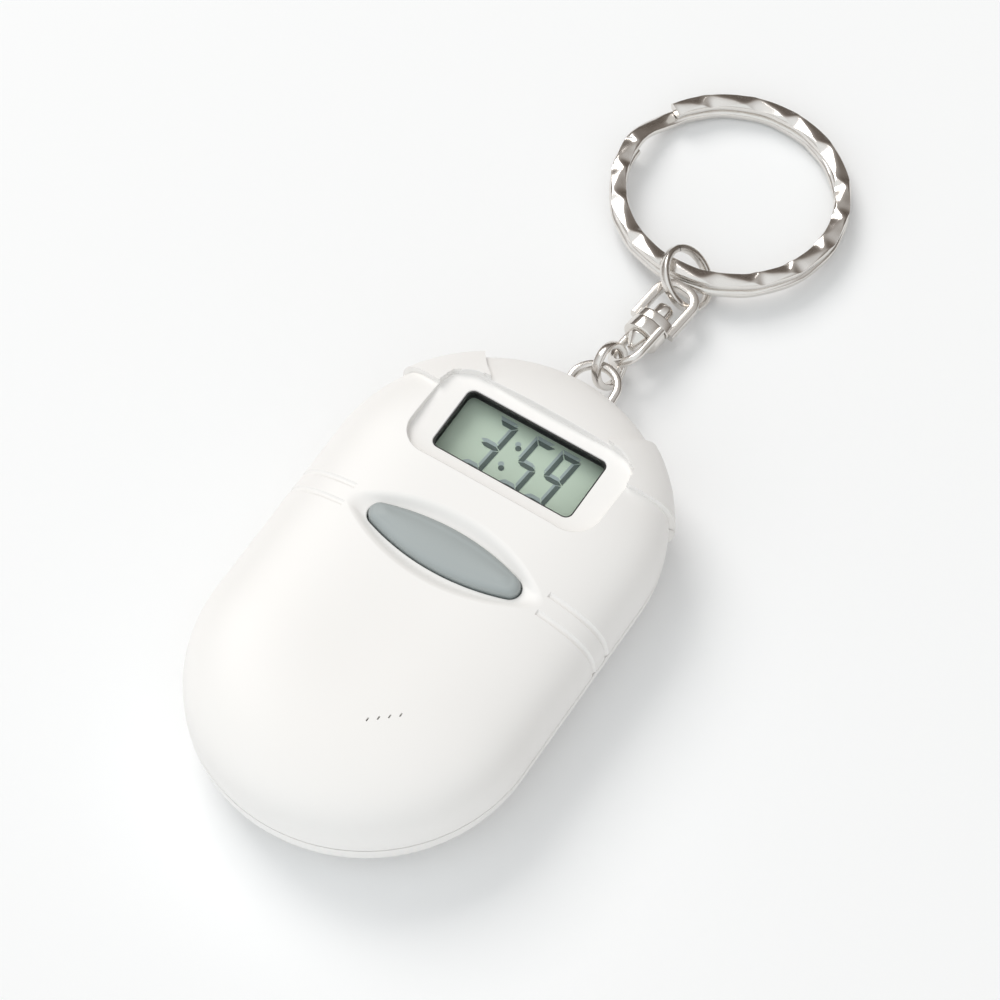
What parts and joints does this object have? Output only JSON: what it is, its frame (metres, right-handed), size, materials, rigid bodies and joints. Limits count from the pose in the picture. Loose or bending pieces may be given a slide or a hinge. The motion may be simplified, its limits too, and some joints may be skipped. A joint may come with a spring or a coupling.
{
  "type": "talking clock keychain",
  "caption": "Pocket talking clock with a domed rounded casing, a small display and a talk button, on a swivel chain with a split ring.",
  "frame": {"origin": "middle of the casing's flat back", "axes": "+Z out of the face with the display and the button, +Y towards the split ring, +X to the right seen from the front"},
  "size_m": [0.0394, 0.1118, 0.0149],
  "materials": {
    "white_plastic": "satin near-white",
    "grey_rubber": "satin mid grey",
    "clear_plastic": "clear, glossy",
    "display_glass": "grey-green, glossy",
    "black_plastic": "matt black",
    "board": "green solder mask",
    "foam": "black foam",
    "paper_cone": "matt black",
    "nickel": "bright nickel plate",
    "steel": "plain steel",
    "brass": "tinned brass"
  },
  "bodies": {
    "casing": {"front_shell": "white_plastic", "rear_shell": "white_plastic", "battery_cover": "white_plastic", "battery_cover_screw": "steel", "case_screw_near_left": "steel", "case_screw_near_right": "steel", "case_screw_far_left": "steel", "case_screw_far_right": "steel", "display_window": "clear_plastic", "display_front_glass": "display_glass", "display_rear_glass": "display_glass", "display_holder": "black_plastic", "display_rubber_strip": "grey_rubber", "circuit_board": "board", "chip_blob": "black_plastic", "time_crystal": "steel", "capacitor": "brass", "talk_button_dome": "grey_rubber", "speaker_basket": "steel", "speaker_cone": "paper_cone", "speaker_magnet": "steel", "speaker_gasket": "foam", "battery_link_plate": "brass", "button_cell_left": "steel", "button_cell_right": "steel", "battery_contact_left": "brass", "battery_contact_right": "brass", "set_switch_left": "steel", "set_switch_right": "steel", "ring_post": "steel"},
    "talk_key": {"talk_button": "grey_rubber"},
    "setting_key_left": {"set_key_left": "grey_rubber"},
    "setting_key_right": {"set_key_right": "grey_rubber"},
    "link_1": {"chain_link_1": "nickel"},
    "link_2": {"chain_link_2": "nickel"},
    "swivel_base": {"swivel_lower_bail": "nickel", "swivel_rivet": "nickel"},
    "swivel_bail": {"swivel_upper_bail": "nickel"},
    "connecting_ring": {"jump_ring": "nickel"},
    "key_ring": {"split_ring": "nickel"}
  },
  "joints": [
    {"name": "talk_button_press", "type": "slide", "parent": "casing", "child": "talk_key", "axis": [0, 0, -1], "range_m": [0, 0.0008], "stiffness_N_per_m": 600},
    {"name": "set_key_left_press", "type": "slide", "parent": "casing", "child": "setting_key_left", "axis": [0, 0, 1], "range_m": [0, 0.0005], "stiffness_N_per_m": 400},
    {"name": "set_key_right_press", "type": "slide", "parent": "casing", "child": "setting_key_right", "axis": [0, 0, 1], "range_m": [0, 0.0005], "stiffness_N_per_m": 400},
    {"name": "link_1_swing", "type": "hinge", "parent": "casing", "child": "link_1", "pos_m": [0, 0.028, 0.004], "axis": [0, 0, 1], "range_deg": [-20, 20]},
    {"name": "link_2_swing", "type": "hinge", "parent": "link_1", "child": "link_2", "pos_m": [-0.00076, 0.03767, 0.004], "axis": [0.9311, -0.041, 0.3624], "range_deg": [-30, 30]},
    {"name": "swivel_swing", "type": "hinge", "parent": "link_2", "child": "swivel_base", "pos_m": [-0.0006, 0.04076, 0.0032], "axis": [-0.3627, 0, 0.9319], "range_deg": [-15, 20]},
    {"name": "swivel_spin", "type": "hinge", "parent": "swivel_base", "child": "swivel_bail", "pos_m": [-0.00002, 0.039, 0.0033], "axis": [0.0958, 0.9954, 0], "continuous": true},
    {"name": "jump_ring_swing", "type": "hinge", "parent": "swivel_bail", "child": "connecting_ring", "pos_m": [0.00118, 0.05149, 0.0033], "axis": [0.9954, -0.0958, 0], "range_deg": [-5, 20]},
    {"name": "split_ring_swing", "type": "hinge", "parent": "connecting_ring", "child": "key_ring", "pos_m": [0.00045, 0.05315, 0.0031], "axis": [1, 0, 0], "range_deg": [-5, 12]}
  ]
}
